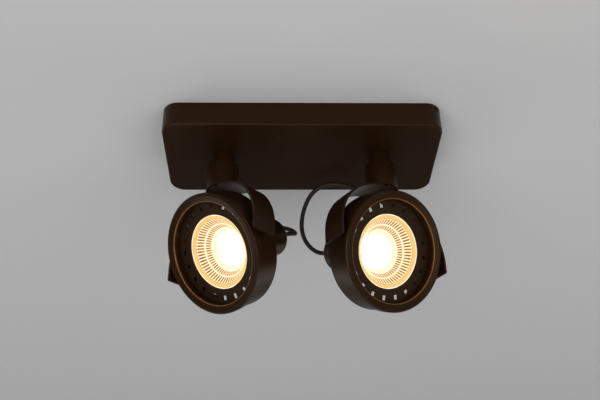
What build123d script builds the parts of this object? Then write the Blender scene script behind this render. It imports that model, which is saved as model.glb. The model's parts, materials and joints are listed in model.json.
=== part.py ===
"""Twin-head ceiling spotlight: a box canopy with two lamp heads that swivel and tilt.

Millimetres and degrees. The origin is the centre of the canopy's ceiling face, +Z points up into the
ceiling, X runs along the canopy and the room is at -Y and below. The heads are modelled as they were set.
"""
import os
from math import cos, radians, sin, sqrt, tan

from build123d import *

# Canopy
CANOPY_LENGTH = 300.0
CANOPY_WIDTH = 120.0
CANOPY_HEIGHT = 30.0
CANOPY_CORNER = 17.0
CANOPY_EDGE = 2.0
CANOPY_WALL = 1.5
CORNER_SCREW_DROP = 4.6
CORNER_SCREW_RADIUS = 1.5
CORNER_SCREW_HEAD = 3.0
CORNER_SCREW_HEAD_HEIGHT = 1.5

# Ceiling plate: a strap that leaves the canopy open on both sides for the supply
PLATE_WIDTH = 24.0
PLATE_THICK = 1.6
PLATE_EAR_WIDTH = 10.0
PLATE_TAB_LENGTH = 9.0
PLATE_SLOT_SPACING = 120.0
PLATE_SLOT_LENGTH = 20.0
PLATE_SLOT_WIDTH = 5.0

# Terminals
TERMINAL_LENGTH = 36.0
TERMINAL_WIDTH = 18.0
TERMINAL_HEIGHT = 13.0
TERMINAL_POLES = 3
TERMINAL_SCREW_RADIUS = 1.8
TERMINAL_SCREW_SUNK = 1.0
TERMINAL_WIRE_RADIUS = 1.9
TERMINAL_Y = -33.0
EARTH_X = 38.0
EARTH_STUD_RADIUS = 2.0
EARTH_STUD_LENGTH = 12.0
EARTH_WASHER_RADIUS = 5.0
EARTH_WASHER_THICK = 1.0
EARTH_NUT_FLATS = 7.0
EARTH_NUT_HEIGHT = 3.2

# Stem and swivel
STEM_SPACING = 173.0
NECK_RADIUS = 13.0
NECK_LENGTH = 12.0
TUBE_RADIUS = 5.0
TUBE_BORE = 3.0
TUBE_ABOVE_NUT = 5.0
TUBE_BELOW_NUT = 1.0
NUT_FLATS = 15.0
NUT_HEIGHT = 5.0
WASHER_RADIUS = 12.0
WASHER_THICK = 0.8
COLLAR_RADIUS = 17.5
COLLAR_LENGTH = 32.7
COLLAR_WALL = 3.0
COLLAR_TOP_WALL = 4.0
PLUG_LENGTH = 11.5

# Lamp, the size that the drum, ring and yoke follow
LAMP_RADIUS = 55.5
FLANGE_THICK = 1.5
SLOT_COUNT = 20
SLOT_INSET = 7.5
SLOT_WIDTH = 4.4
SLOT_LENGTH = 5.0
FIN_THICK = 1.6
FIN_REACH = 5.0
APERTURE_RADIUS = 37.7
DISH_NECK_RADIUS = 11.0
DISH_DEPTH = 22.0
DISH_WALL = 1.2
DISH_RIM = 0.8
RIM_BAND_WIDTH = 4.0
RIM_BAND_DEPTH = 2.0
FACET_SECTORS = 60
FACET_ROWS = 5
GLASS_THICK = 1.0
LED_BOARD_RADIUS = 14.5
LED_BOARD_THICK = 1.6
LED_EMITTER_RADIUS = 9.0
LED_EMITTER_HEIGHT = 1.2
LAMP_CONE_LENGTH = 37.0
LAMP_NECK_RADIUS = 17.0
LAMP_NECK_LENGTH = 8.0
BASE_RADIUS = 14.5
BASE_LENGTH = 11.0
BASE_STEP = 1.0
PIN_SPACING = 10.0
PIN_RADIUS = 1.5
PIN_HEAD_RADIUS = 2.4
PIN_LENGTH = 6.5
PIN_HEAD_LENGTH = 2.0

# Drum and front ring
DRUM_LAMP_GAP = 3.5
DRUM_WALL = 2.0
DRUM_BACK = 18.0
DRUM_FRONT = 5.0
SEAT_OVERLAP = 3.0
SEAT_THICK = 2.0
SPIGOT_LENGTH = 3.0
RING_STEP = 1.5
RING_DEPTH = 8.5
RING_WALL = 2.2
RING_BEVEL = 1.2
RING_RIM_WIDTH = 1.8
LIP_OVERLAP = 2.0
LIP_DROP = 1.5
LIP_THICK = 2.0
LAMP_FRONT = 2.0

# Lampholder and its cap
HOLDER_RADIUS = 14.2
HOLDER_FLANGE_THICK = 3.0
CAP_RADIUS = 21.0
CAP_WALL = 1.5
CAP_LENGTH = 34.0
CAP_END_WALL = 2.0
CAP_EDGE = 3.0
CAP_REACH = 88.0

# Yoke and pivots
YOKE_GAP = 6.0
YOKE_THICK = 2.5
YOKE_WIDTH = 27.0
YOKE_STRAIGHT = 3.0
YOKE_TAIL = 9.0
YOKE_CORNER = 1.5
YOKE_SCREW_RADIUS = 3.0
YOKE_SCREW_HEAD = 5.5
YOKE_SCREW_HEAD_HEIGHT = 2.6
YOKE_SCREW_LENGTH = 12.0
PIVOT_SCREW_RADIUS = 2.5
PIVOT_SCREW_HEAD = 4.2
PIVOT_SCREW_HEAD_HEIGHT = 1.5
PIVOT_SKIN = 0.8
BUSH_RADIUS = 4.8

# Cables
CABLE_DIAMETER = 5.0
GROMMET_DROP = 13.2
GROMMET_WALL = 1.3
GROMMET_FLANGE = 1.6
GROMMET_FLANGE_THICK = 1.2

# Clearances
RUNNING = 0.05
FIT = 0.1
FACE_GAP = 0.05
BUSH_GAP = 0.3

# How far a cutting tool runs past the face that it opens
PAST = 1.0

# How each head was set: swivel from straight ahead towards +X, tilt below the horizontal, and how far
# its lamp is turned about the beam in its holder
SIDES = ("left", "right")
SIDE_SIGN = {"left": -1, "right": 1}
SWIVEL = {"left": -48.5, "right": 35.0}
TILT = {"left": 33.5, "right": 25.5}
LAMP_TURN = {"left": 14.0, "right": 9.0}

# Each cable's route in space, from the collar's grommet to the back of the lampholder
CABLE_ROUTE = {
    "left": [
        (-63.3, 20.5, -56.0),
        (-55.2, 28.8, -57.1),
        (-49.1, 37.1, -61.5),
        (-45.0, 44.7, -68.2),
        (-40.9, 52.6, -73.5),
        (-35.9, 60.3, -76.0),
        (-30.1, 66.9, -75.6),
        (-23.8, 71.5, -74.0),
        (-17.1, 74.4, -73.6),
        (-10.9, 75.3, -75.3),
        (-6.9, 73.9, -79.2),
        (-6.4, 70.1, -83.5),
        (-10.9, 64.4, -86.8),
    ],
    "right": [
        (72.1, 20.6, -56.0),
        (63.5, 28.0, -51.0),
        (52.5, 31.5, -44.5),
        (41.0, 33.0, -40.5),
        (30.0, 36.0, -39.0),
        (19.5, 40.5, -40.5),
        (10.5, 47.0, -46.5),
        (4.5, 55.0, -56.5),
        (1.0, 63.0, -68.0),
        (1.0, 71.0, -79.0),
        (5.0, 78.5, -88.5),
        (12.5, 83.5, -96.0),
        (21.8, 83.8, -101.8),
    ],
}
CABLE_LAST_RUN = 14.0
CABLE_ARC_SHARE = 0.45

# Sizes that follow from those above
STEM_X = STEM_SPACING / 2
CORNER_X = CANOPY_LENGTH / 2 - CANOPY_CORNER
CORNER_Y = CANOPY_WIDTH / 2 - CANOPY_CORNER
FLOOR_INSIDE = -CANOPY_HEIGHT + CANOPY_WALL
NECK_END = -CANOPY_HEIGHT - NECK_LENGTH
COLLAR_TOP = NECK_END - WASHER_THICK - FACE_GAP
YOKE_TOP = COLLAR_TOP - COLLAR_LENGTH
COLLAR_INSIDE = COLLAR_TOP - COLLAR_TOP_WALL
PLUG_RADIUS = COLLAR_RADIUS - COLLAR_WALL
GROMMET_Z = COLLAR_TOP - GROMMET_DROP
DRUM_BORE = LAMP_RADIUS + DRUM_LAMP_GAP
DRUM_RADIUS = DRUM_BORE + DRUM_WALL
RING_RADIUS = DRUM_RADIUS + RING_STEP
RING_FRONT = DRUM_FRONT + RING_DEPTH
LIP_RADIUS = LAMP_RADIUS - LIP_OVERLAP
PIVOT_SEAT = sqrt(DRUM_BORE ** 2 - PIVOT_SCREW_HEAD ** 2)
YOKE_INNER = RING_RADIUS + YOKE_GAP
YOKE_OUTER = YOKE_INNER + YOKE_THICK
PIVOT_Z = YOKE_TOP - YOKE_OUTER - YOKE_STRAIGHT
FLANGE_BACK = LAMP_FRONT - FLANGE_THICK
GLASS_RADIUS = APERTURE_RADIUS + DISH_RIM
DISH_TOP = LAMP_FRONT - GLASS_THICK
DISH_BOTTOM = DISH_TOP - DISH_DEPTH
FACET_RADIUS = APERTURE_RADIUS - RIM_BAND_WIDTH
FACET_TOP = DISH_TOP - RIM_BAND_DEPTH
SLOT_RING_RADIUS = LAMP_RADIUS - SLOT_INSET
LAMP_BORE = GLASS_RADIUS + FIT
CONE_TOP_RADIUS = LAMP_BORE + DISH_WALL
CONE_BACK = FLANGE_BACK - LAMP_CONE_LENGTH
NECK_BACK = CONE_BACK - LAMP_NECK_LENGTH
BASE_BACK = NECK_BACK - BASE_LENGTH
CAP_BACK = -CAP_REACH
CAP_INSIDE = CAP_BACK + CAP_END_WALL
CABLE_RADIUS = CABLE_DIAMETER / 2
GROMMET_BORE = CABLE_RADIUS + RUNNING
GROMMET_RADIUS = GROMMET_BORE + GROMMET_WALL


def turned(*profile):
    """Solid of revolution about Z from its (radius, height) corners."""
    return revolve(Plane.XZ * make_face(Polyline(*profile, close=True)), Axis.Z)


def tube(outer, bore, low, high):
    """Plain hollow cylinder about Z between two heights."""
    return turned((bore, low), (outer, low), (outer, high), (bore, high))


def rod(radius, low, high):
    """Plain cylinder about Z between two heights."""
    return Pos(0, 0, (low + high) / 2) * Cylinder(radius, high - low)


def hex_nut(flats, bore, low, high):
    """Hexagon nut about Z between two heights."""
    blank = extrude(RegularPolygon(flats / 2, 6, major_radius=False), high - low)
    return Pos(0, 0, low) * (blank - Cylinder(bore, 3 * (high - low)))


def stem_at(side):
    """Place on a stem's axis, at the height of the ceiling."""
    return Pos(SIDE_SIGN[side] * STEM_X, 0, 0)


def yoke_at(side):
    """Place at a head's pivot, turned with the yoke: X along the tilt axis, -Y ahead."""
    return stem_at(side) * Pos(0, 0, PIVOT_Z) * Rot(0, 0, SWIVEL[side])


def head_at(side):
    """Place at a head's pivot, turned and tilted with the head: Z along the beam, X along the tilt axis."""
    return yoke_at(side) * Rot(90 + TILT[side], 0, 0)


def lamp_at(side):
    """Place of a lamp in its head, turned about the beam as it sits in its holder."""
    return head_at(side) * Rot(0, 0, LAMP_TURN[side])


# Canopy

def corner_places():
    """Places on the two screwed corners: X points out through the rounded corner."""
    return [Pos(sign * CORNER_X, -sign * CORNER_Y, -CORNER_SCREW_DROP) * Rot(0, 0, turn)
            for sign, turn in ((1, -45), (-1, 135))]


def across(radius, start, end):
    """Cylinder along X between two distances."""
    return Pos((start + end) / 2, 0, 0) * Rot(0, 90, 0) * Cylinder(radius, end - start)


def canopy_shell():
    """Box canopy with rounded corners, open at the ceiling."""
    outline = RectangleRounded(CANOPY_LENGTH, CANOPY_WIDTH, CANOPY_CORNER)
    shell = extrude(outline, -CANOPY_HEIGHT)
    shell = fillet(shell.faces().sort_by(Axis.Z)[0].edges(), CANOPY_EDGE)
    hollow = RectangleRounded(
        CANOPY_LENGTH - 2 * CANOPY_WALL, CANOPY_WIDTH - 2 * CANOPY_WALL, CANOPY_CORNER - CANOPY_WALL
    )
    shell -= extrude(hollow, FLOOR_INSIDE)
    for side in SIDES:
        shell -= stem_at(side) * rod(TUBE_RADIUS + FIT, -CANOPY_HEIGHT - PAST, FLOOR_INSIDE + PAST)
    for place in corner_places():
        shell -= place * across(CORNER_SCREW_RADIUS + FIT, 0, CANOPY_CORNER + PAST)
    return shell


TAB_OUTSIDE = sqrt((CANOPY_CORNER - CANOPY_WALL - FIT) ** 2 - (PLATE_EAR_WIDTH / 2) ** 2) - 2 * FIT


def ceiling_plate():
    """Flat strap with two slots and two ears, which reach the screwed corners and turn down there."""
    back = (CORNER_Y - PLATE_WIDTH / 2) * sqrt(2) + PLATE_EAR_WIDTH
    length = 2 * (CORNER_X - CORNER_Y + PLATE_WIDTH / 2 + PLATE_EAR_WIDTH)
    outline = RectangleRounded(length, PLATE_WIDTH, PLATE_EAR_WIDTH / 2)
    for place in corner_places():
        middle = Pos((TAB_OUTSIDE - back) / 2, 0, CORNER_SCREW_DROP)
        outline += place * middle * Rectangle(TAB_OUTSIDE + back, PLATE_EAR_WIDTH)
    plate = extrude(outline, -PLATE_THICK)
    for place in corner_places():
        tab = Pos(TAB_OUTSIDE - PLATE_THICK / 2, 0, CORNER_SCREW_DROP - PLATE_TAB_LENGTH / 2)
        plate += place * tab * Box(PLATE_THICK, PLATE_EAR_WIDTH, PLATE_TAB_LENGTH)
        plate -= place * across(CORNER_SCREW_RADIUS + RUNNING, 0, CANOPY_CORNER)
    slot = SlotOverall(PLATE_SLOT_LENGTH, PLATE_SLOT_WIDTH)
    for sign in (-1, 1):
        plate -= extrude(Pos(sign * PLATE_SLOT_SPACING / 2, 0) * slot, -2 * PLATE_THICK)
    return plate


def canopy_screws():
    """Two pan-head screws, one in each screwed corner."""
    start = TAB_OUTSIDE - 2 * PLATE_THICK
    screw = across(CORNER_SCREW_RADIUS, start, CANOPY_CORNER + CORNER_SCREW_HEAD_HEIGHT / 2)
    head = across(CORNER_SCREW_HEAD, CANOPY_CORNER, CANOPY_CORNER + CORNER_SCREW_HEAD_HEIGHT)
    screw += fillet(head.edges().sort_by(Axis.X)[-1], CORNER_SCREW_HEAD_HEIGHT / 2)
    return [place * screw for place in corner_places()]


def terminal_places():
    """Places at the poles of the terminal block, on its top."""
    pitch = TERMINAL_LENGTH / TERMINAL_POLES
    top = FLOOR_INSIDE + TERMINAL_HEIGHT
    return [Pos((i - (TERMINAL_POLES - 1) / 2) * pitch, TERMINAL_Y, top) for i in range(TERMINAL_POLES)]


def terminal_wells():
    """Places of the screw wells, two for each pole."""
    return [place * Pos(0, well * TERMINAL_WIDTH / 4, 0) for place in terminal_places() for well in (-1, 1)]


def terminal_block():
    """Block with one wire bore and two screw wells for each pole."""
    block = Pos(0, TERMINAL_Y, FLOOR_INSIDE + TERMINAL_HEIGHT / 2)
    block *= Box(TERMINAL_LENGTH, TERMINAL_WIDTH, TERMINAL_HEIGHT)
    wire_bore = Rot(90, 0, 0) * Cylinder(TERMINAL_WIRE_RADIUS, 2 * TERMINAL_WIDTH)
    for place in terminal_places():
        block -= place * Pos(0, 0, -TERMINAL_HEIGHT / 2) * wire_bore
    for place in terminal_wells():
        block -= place * rod(TERMINAL_SCREW_RADIUS + FIT, -TERMINAL_HEIGHT / 2, PAST)
    return block


def terminal_screws():
    """Clamping screws in the wells of the terminal block."""
    foot = -TERMINAL_HEIGHT / 2 + TERMINAL_WIRE_RADIUS + FIT
    return [place * rod(TERMINAL_SCREW_RADIUS, foot, -TERMINAL_SCREW_SUNK) for place in terminal_wells()]


def earth_terminal():
    """Stud, washer and nut that bond the canopy to earth."""
    place = Pos(EARTH_X, TERMINAL_Y, FLOOR_INSIDE)
    nut_low = EARTH_WASHER_THICK
    nut_high = nut_low + EARTH_NUT_HEIGHT
    washer = tube(EARTH_WASHER_RADIUS, EARTH_STUD_RADIUS + FIT, 0, EARTH_WASHER_THICK)
    nut = hex_nut(EARTH_NUT_FLATS, EARTH_STUD_RADIUS + RUNNING, nut_low, nut_high)
    return [place * piece for piece in (rod(EARTH_STUD_RADIUS, 0, EARTH_STUD_LENGTH), washer, nut)]


# Stem

def stem_nut(side):
    """Nut that clamps the tube to the canopy's floor."""
    return stem_at(side) * hex_nut(NUT_FLATS, TUBE_RADIUS + RUNNING, FLOOR_INSIDE, FLOOR_INSIDE + NUT_HEIGHT)


def swivel_neck(side):
    """Narrow fixed part of the stem under the canopy."""
    return stem_at(side) * tube(NECK_RADIUS, TUBE_RADIUS + RUNNING, NECK_END, -CANOPY_HEIGHT)


def swivel_tube(side):
    """Hollow axle of the swivel, from inside the canopy to inside the collar."""
    low = COLLAR_INSIDE - FACE_GAP - NUT_HEIGHT - TUBE_BELOW_NUT
    return stem_at(side) * tube(TUBE_RADIUS, TUBE_BORE, low, FLOOR_INSIDE + NUT_HEIGHT + TUBE_ABOVE_NUT)


def friction_washer(side):
    """Washer that the collar turns against."""
    return stem_at(side) * tube(WASHER_RADIUS, TUBE_RADIUS + RUNNING, NECK_END - WASHER_THICK, NECK_END)


def retaining_nut(side):
    """Nut on the tube's lower end that carries the collar."""
    high = COLLAR_INSIDE - FACE_GAP
    return stem_at(side) * hex_nut(NUT_FLATS, TUBE_RADIUS + RUNNING, high - NUT_HEIGHT, high)


def yoke_round(radius):
    """Cylinder along the band's curve, as wide as the collar needs, in the yoke's frame."""
    return Pos(0, 0, YOKE_STRAIGHT) * Rot(90, 0, 0) * Cylinder(radius, 4 * COLLAR_RADIUS)


def in_yoke(height):
    """Height below the ceiling, counted from the pivot."""
    return height - PIVOT_Z


def swivel_collar(side):
    """Turning cup of the stem, saddled on the yoke, with a side hole for the cable."""
    cup = rod(COLLAR_RADIUS, 0, in_yoke(COLLAR_TOP)) - rod(PLUG_RADIUS, -PAST, in_yoke(COLLAR_INSIDE))
    cup -= rod(TUBE_RADIUS + RUNNING, 0, in_yoke(COLLAR_TOP) + PAST)
    cup -= yoke_round(YOKE_OUTER)
    hole = Pos(0, COLLAR_RADIUS, in_yoke(GROMMET_Z)) * Rot(90, 0, 0)
    cup -= hole * Cylinder(GROMMET_RADIUS + RUNNING, 2 * (COLLAR_WALL + PAST))
    return yoke_at(side) * cup


def collar_plug(side):
    """Plug in the foot of the collar, threaded for the yoke screw."""
    plug = rod(PLUG_RADIUS - RUNNING, 0, in_yoke(YOKE_TOP) + PLUG_LENGTH) - yoke_round(YOKE_OUTER)
    plug -= rod(YOKE_SCREW_RADIUS + RUNNING, 0, in_yoke(YOKE_TOP) + PLUG_LENGTH + PAST)
    return yoke_at(side) * plug


def yoke(side):
    """C-shaped band with blind pivot holes inside its arms and a hole for its screw."""
    def outline(radius):
        half = Circle(radius) - Pos(0, -radius) * Rectangle(4 * radius, 2 * radius)
        arms = Pos(0, -(YOKE_STRAIGHT + YOKE_TAIL) / 2) * Rectangle(2 * radius, YOKE_STRAIGHT + YOKE_TAIL)
        return Pos(0, YOKE_STRAIGHT) * (half + arms)

    face = outline(YOKE_OUTER) - outline(YOKE_INNER)
    band = Rot(90, 0, 0) * Pos(0, 0, -YOKE_WIDTH / 2) * extrude(face, YOKE_WIDTH)
    ends = band.faces().filter_by(Axis.Z).sort_by(Axis.Z)[:2]
    corners = [edge for end in ends for edge in end.edges().filter_by(Axis.X)]
    band = fillet(corners, YOKE_CORNER)
    band -= across(PIVOT_SCREW_RADIUS + RUNNING, PIVOT_SKIN - YOKE_OUTER, YOKE_OUTER - PIVOT_SKIN)
    band -= rod(YOKE_SCREW_RADIUS + FIT, 0, YOKE_STRAIGHT + YOKE_OUTER + PAST)
    return yoke_at(side) * band


def yoke_screw(side):
    """Screw under the band, into the collar's plug."""
    seat = YOKE_STRAIGHT + sqrt(YOKE_INNER ** 2 - YOKE_SCREW_HEAD ** 2)
    screw = rod(YOKE_SCREW_RADIUS, seat - YOKE_SCREW_HEAD_HEIGHT / 2, seat + YOKE_SCREW_LENGTH)
    head = rod(YOKE_SCREW_HEAD, seat - YOKE_SCREW_HEAD_HEIGHT, seat)
    screw += fillet(head.edges().sort_by(Axis.Z)[0], YOKE_SCREW_HEAD_HEIGHT / 2)
    return yoke_at(side) * screw


def grommet(reach, flange_low):
    """Rubber bush about Z, flanged on the side of +Z, with the cable's bore."""
    flange = GROMMET_RADIUS + GROMMET_FLANGE
    high = reach + GROMMET_FLANGE_THICK
    return turned(
        (GROMMET_BORE, 0), (GROMMET_RADIUS, 0), (GROMMET_RADIUS, flange_low), (flange, flange_low),
        (flange, high), (GROMMET_BORE, high),
    )


def cable_grommet(side):
    """Bush in the back of the collar, seated on its round wall."""
    bush = grommet(COLLAR_WALL, COLLAR_WALL / 2)
    place = Pos(0, PLUG_RADIUS, in_yoke(GROMMET_Z)) * Rot(-90, 0, 0)
    height = in_yoke(GROMMET_Z)
    wall = rod(COLLAR_RADIUS, height - COLLAR_RADIUS, height + COLLAR_RADIUS)
    wall -= place * Cylinder(GROMMET_RADIUS + RUNNING / 2, 4 * COLLAR_WALL)
    return yoke_at(side) * (place * bush - wall)


# Head, in its own frame: Z along the beam, X along the tilt axis

def across_pair(piece):
    """The piece and its twin, turned half round about the beam."""
    return [piece, Rot(0, 0, 180) * piece]


def drum():
    """Open ring with a spigot for the front ring and the pivot holes."""
    spigot = RING_RADIUS - RING_WALL - FIT
    spigot_front = DRUM_FRONT + SPIGOT_LENGTH
    body = turned(
        (DRUM_BORE, -DRUM_BACK), (DRUM_RADIUS, -DRUM_BACK), (DRUM_RADIUS, DRUM_FRONT),
        (spigot, DRUM_FRONT), (spigot, spigot_front), (DRUM_BORE, spigot_front),
    )
    return body - Rot(0, 90, 0) * Cylinder(PIVOT_SCREW_RADIUS + RUNNING, 3 * DRUM_RADIUS)


def lamp_seat():
    """Flat ring in the drum that the lamp's face rests on, notched for the heads of the pivot screws."""
    ring = tube(DRUM_BORE - RUNNING, LAMP_RADIUS - SEAT_OVERLAP, FLANGE_BACK - SEAT_THICK, FLANGE_BACK)
    depth = 2 * (DRUM_BORE - PIVOT_SEAT + PIVOT_SCREW_HEAD_HEIGHT + FIT)
    width = 2 * (PIVOT_SCREW_HEAD + FIT)
    notch = Pos(DRUM_BORE, 0, FLANGE_BACK) * Box(depth, width, 3 * SEAT_THICK)
    return ring - across_pair(notch)


def front_ring():
    """Channel-shaped bezel: outer wall on the drum, dished front, inner wall down to the lamp."""
    inside = RING_RADIUS - RING_WALL
    lip_front = RING_FRONT - LIP_DROP
    lip_wall = LIP_RADIUS + LIP_THICK
    rim = RING_RADIUS - RING_BEVEL - RING_RIM_WIDTH
    return turned(
        (RING_RADIUS, DRUM_FRONT), (RING_RADIUS, RING_FRONT - RING_BEVEL),
        (RING_RADIUS - RING_BEVEL, RING_FRONT), (rim, RING_FRONT),
        (LIP_RADIUS, lip_front), (LIP_RADIUS, LAMP_FRONT + FIT),
        (lip_wall, LAMP_FRONT + FIT), (lip_wall, lip_front - RING_WALL),
        (inside, RING_FRONT - RING_WALL), (inside, DRUM_FRONT),
    )


def dish_height(radius):
    """Height of the dish's faceted curve, a parabola, at a radius."""
    share = (radius ** 2 - DISH_NECK_RADIUS ** 2) / (FACET_RADIUS ** 2 - DISH_NECK_RADIUS ** 2)
    return DISH_BOTTOM + (FACET_TOP - DISH_BOTTOM) * share


def dish_rows():
    """Radii of the facet rows' edges, from the neck to the plain band."""
    step = (FACET_RADIUS - DISH_NECK_RADIUS) / FACET_ROWS
    return [DISH_NECK_RADIUS + i * step for i in range(FACET_ROWS + 1)]


def reflector():
    """Dish with rows of flat facets inside, a plain band round them and a narrow rim."""
    curve = [(r + DISH_WALL, dish_height(r) - DISH_WALL / 2) for r in dish_rows()[1:]]
    cup = turned(
        (0, DISH_BOTTOM), (DISH_NECK_RADIUS + DISH_WALL, DISH_BOTTOM), *curve,
        (APERTURE_RADIUS, DISH_TOP - DISH_WALL), (GLASS_RADIUS, DISH_TOP - DISH_WALL),
        (GLASS_RADIUS, DISH_TOP), (APERTURE_RADIUS, DISH_TOP), (FACET_RADIUS, FACET_TOP), (0, FACET_TOP),
    )
    rings = [Pos(0, 0, dish_height(r)) * RegularPolygon(r, FACET_SECTORS) for r in dish_rows()]
    for low, high in zip(rings, rings[1:]):
        cup -= loft([low, high], ruled=True)
    return cup


def heat_sink():
    """Finned cone that carries the dish, its glass and the light source."""
    shelf = DISH_TOP - DISH_WALL
    well = [(r + 2 * DISH_WALL, dish_height(r) - DISH_WALL) for r in dish_rows()[1:-1]]
    board = DISH_BOTTOM - LED_BOARD_THICK
    cone = turned(
        (0, NECK_BACK), (LAMP_NECK_RADIUS, NECK_BACK), (LAMP_NECK_RADIUS, CONE_BACK),
        (CONE_TOP_RADIUS, FLANGE_BACK), (CONE_TOP_RADIUS, LAMP_FRONT), (LAMP_BORE, LAMP_FRONT),
        (LAMP_BORE, shelf), (APERTURE_RADIUS, shelf), *reversed(well),
        (LED_BOARD_RADIUS + FIT, DISH_BOTTOM), (LED_BOARD_RADIUS + FIT, board), (0, board),
    )
    fin_outline = Polyline(
        (LAMP_NECK_RADIUS - PAST, CONE_BACK), (LAMP_NECK_RADIUS + FIN_REACH, CONE_BACK),
        (CONE_TOP_RADIUS + FIN_REACH, FLANGE_BACK), (CONE_TOP_RADIUS - PAST, FLANGE_BACK), close=True,
    )
    fin = extrude(Plane.XZ * make_face(fin_outline), FIN_THICK / 2, both=True)
    step = 360 / SLOT_COUNT
    return cone + [Rot(0, 0, (i + 0.5) * step) * fin for i in range(SLOT_COUNT)]


def lamp_face():
    """Flat ring round the dish with a row of cooling slots."""
    ring = tube(LAMP_RADIUS, CONE_TOP_RADIUS + FIT, FLANGE_BACK, LAMP_FRONT)
    slot = Pos(SLOT_RING_RADIUS, 0, LAMP_FRONT) * Box(SLOT_LENGTH, SLOT_WIDTH, 3 * FLANGE_THICK)
    step = 360 / SLOT_COUNT
    return ring - [Rot(0, 0, i * step) * slot for i in range(SLOT_COUNT)]


def lamp_glass():
    """Clear disc over the dish."""
    return rod(GLASS_RADIUS, DISH_TOP, LAMP_FRONT)


def led_board():
    """Round board under the dish's neck."""
    return rod(LED_BOARD_RADIUS, DISH_BOTTOM - LED_BOARD_THICK, DISH_BOTTOM)


def led_emitter():
    """Flat light-emitting pad on the board, inside the dish's neck."""
    return rod(LED_EMITTER_RADIUS, DISH_BOTTOM, DISH_BOTTOM + LED_EMITTER_HEIGHT)


def lamp_base():
    """Insulating base behind the cone."""
    return turned(
        (0, BASE_BACK), (BASE_RADIUS, BASE_BACK), (BASE_RADIUS, NECK_BACK - BASE_LENGTH / 3),
        (LAMP_NECK_RADIUS - BASE_STEP, NECK_BACK), (0, NECK_BACK),
    )


def lamp_pins():
    """Two headed contact pins of the base."""
    pin = rod(PIN_RADIUS, BASE_BACK - PIN_LENGTH, BASE_BACK)
    pin += rod(PIN_HEAD_RADIUS, BASE_BACK - PIN_LENGTH, BASE_BACK - PIN_LENGTH + PIN_HEAD_LENGTH)
    return across_pair(Pos(PIN_SPACING / 2, 0, 0) * pin)


def lampholder():
    """Socket for the pins, with the flange that the cap sits on."""
    front = BASE_BACK - FACE_GAP
    flange = CAP_RADIUS - CAP_WALL - FIT
    body = turned(
        (0, CAP_INSIDE), (HOLDER_RADIUS, CAP_INSIDE), (HOLDER_RADIUS, front - HOLDER_FLANGE_THICK),
        (flange, front - HOLDER_FLANGE_THICK), (flange, front), (0, front),
    )
    well = rod(PIN_HEAD_RADIUS + FIT, BASE_BACK - PIN_LENGTH - FIT, front + PAST)
    return body - across_pair(Pos(PIN_SPACING / 2, 0, 0) * well)


def lampholder_cap():
    """Round cup over the lampholder, rounded at its closed end."""
    cup = rod(CAP_RADIUS, CAP_BACK, CAP_BACK + CAP_LENGTH)
    cup = fillet(cup.edges().sort_by(Axis.Z)[0], CAP_EDGE)
    cup -= rod(CAP_RADIUS - CAP_WALL, CAP_INSIDE, CAP_BACK + CAP_LENGTH + PAST)
    return cup - rod(GROMMET_RADIUS + RUNNING, CAP_BACK - PAST, CAP_INSIDE + PAST)


def cap_grommet():
    """Bush in the closed end of the cap."""
    return Pos(0, 0, CAP_INSIDE) * Rot(180, 0, 0) * grommet(CAP_END_WALL, CAP_END_WALL)


def pivot_bushes():
    """Spacers between the drum and the yoke's arms, saddled on the drum."""
    reach = YOKE_INNER - BUSH_GAP
    bush = across(BUSH_RADIUS, DRUM_RADIUS / 2, reach) - across(PIVOT_SCREW_RADIUS + RUNNING, 0, 2 * reach)
    bush -= rod(DRUM_RADIUS, -2 * BUSH_RADIUS, 2 * BUSH_RADIUS)
    return across_pair(bush)


def pivot_screws():
    """Screws from inside the drum, through its wall and the bushes, whose ends turn in the arms."""
    head = across(PIVOT_SCREW_HEAD, PIVOT_SEAT - PIVOT_SCREW_HEAD_HEIGHT, PIVOT_SEAT)
    screw = fillet(head.edges().sort_by(Axis.X)[0], PIVOT_SCREW_HEAD_HEIGHT / 2)
    tip = YOKE_OUTER - PIVOT_SKIN - FIT
    screw += across(PIVOT_SCREW_RADIUS, PIVOT_SEAT - PIVOT_SCREW_HEAD_HEIGHT / 2, tip)
    return across_pair(screw)


# Cables

def cable_points(side):
    """The whole route: out of the collar's back, along the chosen points, into the lampholder's back."""
    start = yoke_at(side) * Pos(0, PLUG_RADIUS, in_yoke(GROMMET_Z))
    axis_point = head_at(side) * Pos(0, 0, CAP_INSIDE - CABLE_LAST_RUN)
    end = head_at(side) * Pos(0, 0, CAP_INSIDE)
    route = [Vector(*point) for point in CABLE_ROUTE[side]]
    return [start.position, *route, axis_point.position, end.position]


def cable_radii(points):
    """As large an arc at each corner as its two runs allow."""
    radii = []
    for before, corner, after in zip(points, points[1:], points[2:]):
        run_in, run_out = corner - before, after - corner
        half_turn = radians(run_in.get_angle(run_out)) / 2
        radii.append(CABLE_ARC_SHARE * min(run_in.length, run_out.length) / tan(half_turn))
    return radii


def cable(side):
    """Round cable along straight runs and tangent arcs."""
    points = cable_points(side)
    radii = cable_radii(points)
    path = FilletPolyline(*points, radius=radii)
    section = Plane(path @ 0, z_dir=path % 0) * Circle(CABLE_RADIUS)
    print(side, "cable", round(path.length, 1), "mm long, arc radii", [round(r, 1) for r in radii])
    return sweep(section, path=path)


STEM_PIECES = (
    stem_nut, swivel_neck, swivel_tube, friction_washer, retaining_nut,
    swivel_collar, collar_plug, yoke, yoke_screw, cable_grommet, cable,
)
HEAD_PIECES = (drum, lamp_seat, front_ring, lampholder_cap, cap_grommet, pivot_bushes, pivot_screws)
LAMP_PIECES = (
    lamp_face, heat_sink, reflector, lamp_glass, led_board, led_emitter, lamp_base, lamp_pins, lampholder,
)
CANOPY_PIECES = (canopy_shell, ceiling_plate, canopy_screws, terminal_block, terminal_screws, earth_terminal)


def placed(made, place):
    """A piece, or each of a group of like pieces, at a place."""
    if isinstance(made, list):
        return [place * piece for piece in made]
    return place * made


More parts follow.
